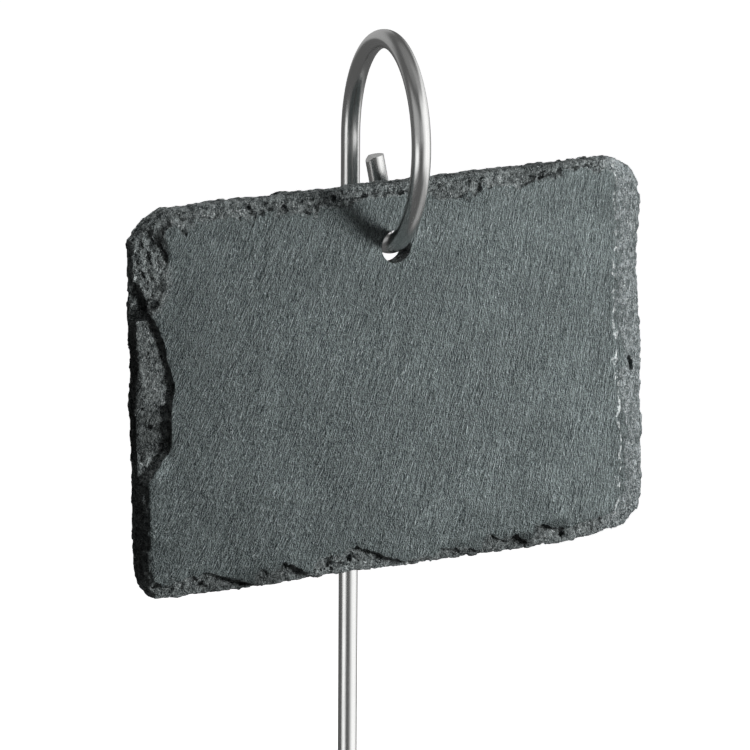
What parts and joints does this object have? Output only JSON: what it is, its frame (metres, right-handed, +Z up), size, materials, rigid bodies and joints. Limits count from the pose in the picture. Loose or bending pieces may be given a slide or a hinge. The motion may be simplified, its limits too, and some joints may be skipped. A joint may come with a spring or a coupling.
{
  "type": "plant label stake",
  "caption": "Split slate plant tag with dressed edges, hanging from the open ring at the top of a pointed round steel stake.",
  "frame": {"origin": "on the stake's axis at soil level, 150 mm above its point and 350 mm below the top of its ring", "axes": "+Z up along the stake; the tag's written face looks along -Y, and the ring reaches forwards from the stake towards -Y"},
  "size_m": [0.1548, 0.0583, 0.5],
  "materials": {
    "steel_bar": "satin drawn stainless round bar",
    "split_slate": "natural split slate, matt, with hand-dressed edges"
  },
  "bodies": {
    "stake": {"stake": "steel_bar"},
    "slate_tag": {"slate_tag": "split_slate"}
  },
  "joints": [
    {"name": "tag_swing", "type": "hinge", "parent": "stake", "child": "slate_tag", "pos_m": [-0.00644, -0.0303, 0.29484], "axis": [-0.2049, -0.9639, 0.1702], "range_deg": [-65, 45]}
  ]
}
